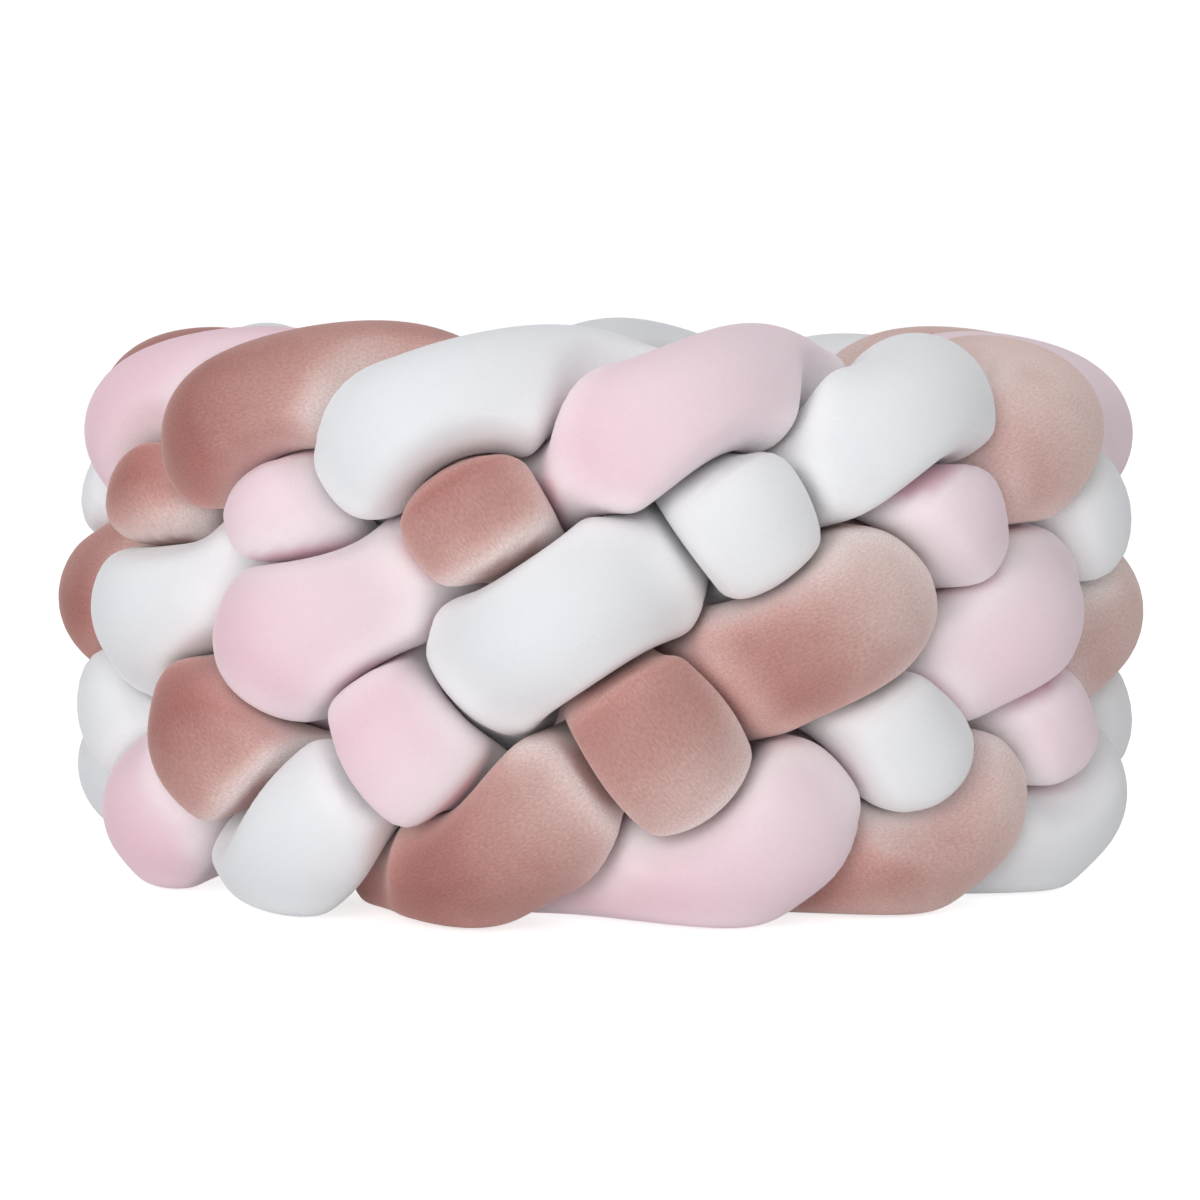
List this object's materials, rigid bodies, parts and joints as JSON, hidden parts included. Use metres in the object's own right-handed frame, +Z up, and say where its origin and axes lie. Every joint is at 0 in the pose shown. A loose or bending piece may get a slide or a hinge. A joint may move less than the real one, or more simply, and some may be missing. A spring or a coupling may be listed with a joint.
{
  "type": "braided crib bumper",
  "caption": "Stuffed velour tubes plaited into a thick flat braid that stands on its long edge, curled round into an open coil.",
  "frame": {"origin": "middle of the coil's outline on the surface it stands on", "axes": "+Z up, the height of the standing plait; -Y the front of the coil, +Y the back where its ends meet; +X to the right seen from the front"},
  "size_m": [0.5975, 0.7022, 0.3015],
  "materials": {
    "pale_pink_velour": "short soft pile",
    "dusty_rose_velour": "short soft pile, mottled where the nap lies differently",
    "white_velour": "short soft pile"
  },
  "bodies": {
    "root": {"strand_1_pink": "pale_pink_velour", "strand_2_rose": "dusty_rose_velour", "strand_3_white": "white_velour", "strand_4_pink": "pale_pink_velour", "strand_5_white": "white_velour", "strand_6_rose": "dusty_rose_velour"}
  },
  "joints": []
}
